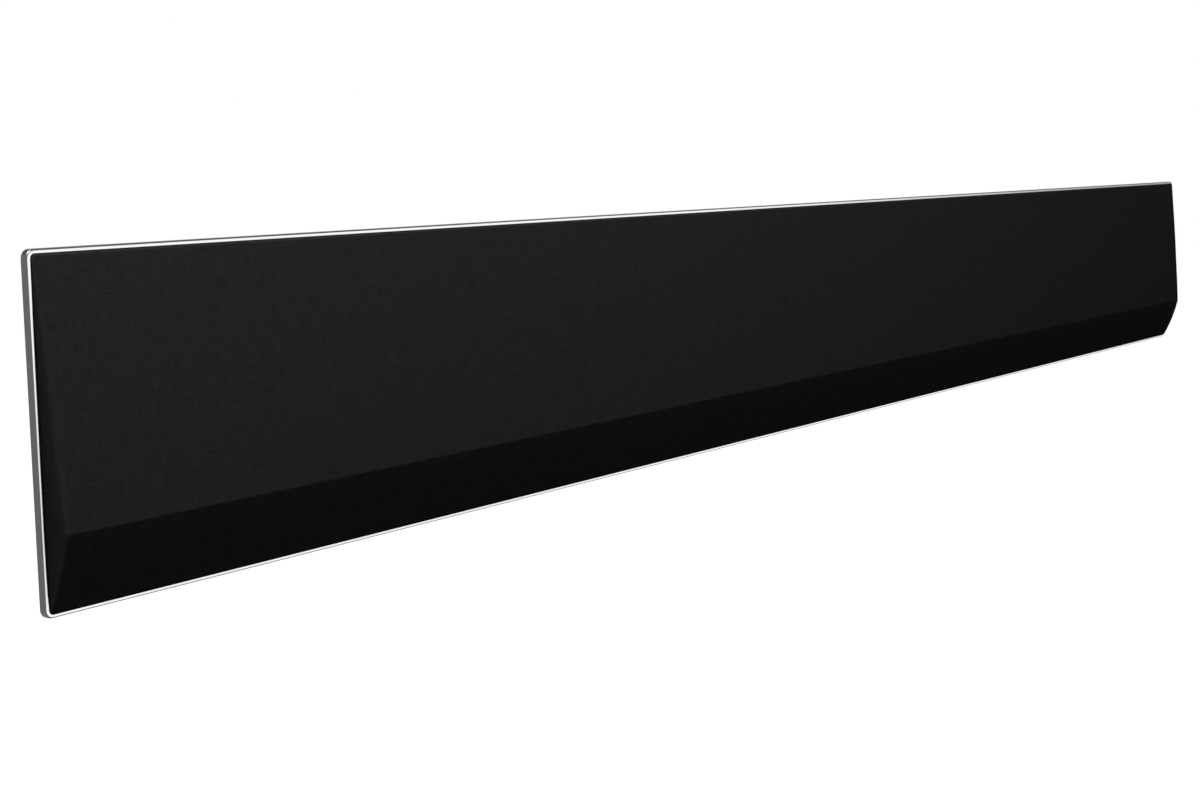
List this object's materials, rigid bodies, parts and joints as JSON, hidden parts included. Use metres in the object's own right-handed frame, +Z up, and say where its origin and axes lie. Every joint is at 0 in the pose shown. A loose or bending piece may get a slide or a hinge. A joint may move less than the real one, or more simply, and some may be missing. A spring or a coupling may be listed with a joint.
{
  "type": "soundbar",
  "caption": "Slim wall-hung soundbar with a creased black cloth front in a thin silver trim frame, a tapered rear cover with a connector bay, and push buttons underneath.",
  "frame": {"origin": "centre of the wall plane, on the middle rubber pad", "axes": "+X along the bar to the listener's right, +Y into the wall, +Z up; the cloth faces -Y"},
  "size_m": [1.446, 0.0325, 0.15],
  "materials": {
    "silver_trim": "satin silver",
    "front_cloth": "black acoustic weave",
    "black_plastic": "matt moulded",
    "cover_plastic": "fine spark texture",
    "foam": "closed-cell foam",
    "pad_rubber": "matt",
    "insert_brass": "turned",
    "screw_steel": "blackened",
    "circuit_board": "solder mask",
    "bare_aluminium": "extruded",
    "component_plastic": "moulded",
    "plated_steel": "plated",
    "jack_plastic": "moulded",
    "clear_plastic": "frosted clear",
    "basket_plastic": "glass-filled",
    "magnet_nickel": "nickel plated",
    "coil_copper": "enamelled wire",
    "dish_plastic": "moulded",
    "spider_cloth": "resin-treated cloth",
    "lead_sheath": "smooth",
    "button_plastic": "fine texture"
  },
  "bodies": {
    "housing": {"trim_frame": "silver_trim", "grille_cloth": "front_cloth", "grille_frame": "black_plastic", "rear_cover": "cover_plastic", "gasket": "foam", "wall_pads": "pad_rubber", "wall_inserts": "insert_brass", "rear_cover_screws": "screw_steel", "baffle": "black_plastic", "main_board": "circuit_board", "heat_sink": "bare_aluminium", "capacitors": "component_plastic", "wireless_module": "plated_steel", "power_jack": "jack_plastic", "line_jack": "jack_plastic", "av_jack": "plated_steel", "data_jack": "plated_steel", "button_board": "circuit_board", "light_board": "circuit_board", "light_pipe": "clear_plastic", "remote_receiver": "component_plastic", "woofer_left_basket": "basket_plastic", "woofer_left_yoke": "plated_steel", "woofer_left_magnet": "magnet_nickel", "woofer_left_surround": "foam", "woofer_left_spider": "spider_cloth", "tweeter_left_body": "basket_plastic", "tweeter_left_ribbon": "bare_aluminium", "lead_woofer_left": "lead_sheath", "lead_tweeter_left": "lead_sheath", "woofer_right_basket": "basket_plastic", "woofer_right_yoke": "plated_steel", "woofer_right_magnet": "magnet_nickel", "woofer_right_surround": "foam", "woofer_right_spider": "spider_cloth", "tweeter_right_body": "basket_plastic", "tweeter_right_ribbon": "bare_aluminium", "lead_woofer_right": "lead_sheath", "lead_tweeter_right": "lead_sheath"},
    "left_woofer_drive": {"woofer_left_diaphragm": "dish_plastic", "woofer_left_voice_coil": "coil_copper"},
    "right_woofer_drive": {"woofer_right_diaphragm": "dish_plastic", "woofer_right_voice_coil": "coil_copper"},
    "power_key": {"power_button": "button_plastic"},
    "source_key": {"source_button": "button_plastic"},
    "volume_down_key": {"volume_down_button": "button_plastic"},
    "volume_up_key": {"volume_up_button": "button_plastic"}
  },
  "joints": [
    {"name": "left_woofer_stroke", "type": "slide", "parent": "housing", "child": "left_woofer_drive", "axis": [0, -1, 0], "range_m": [-0.0013, 0.0013], "stiffness_N_per_m": 1500, "deforming": ["woofer_left_surround", "woofer_left_spider"]},
    {"name": "right_woofer_stroke", "type": "slide", "parent": "housing", "child": "right_woofer_drive", "axis": [0, -1, 0], "range_m": [-0.0013, 0.0013], "stiffness_N_per_m": 1500, "deforming": ["woofer_right_surround", "woofer_right_spider"]},
    {"name": "power_press", "type": "slide", "parent": "housing", "child": "power_key", "axis": [0, 0, 1], "range_m": [0, 0.0005], "stiffness_N_per_m": 600},
    {"name": "source_press", "type": "slide", "parent": "housing", "child": "source_key", "axis": [0, 0, 1], "range_m": [0, 0.0005], "stiffness_N_per_m": 600},
    {"name": "volume_down_press", "type": "slide", "parent": "housing", "child": "volume_down_key", "axis": [0, 0, 1], "range_m": [0, 0.0005], "stiffness_N_per_m": 600},
    {"name": "volume_up_press", "type": "slide", "parent": "housing", "child": "volume_up_key", "axis": [0, 0, 1], "range_m": [0, 0.0005], "stiffness_N_per_m": 600}
  ]
}
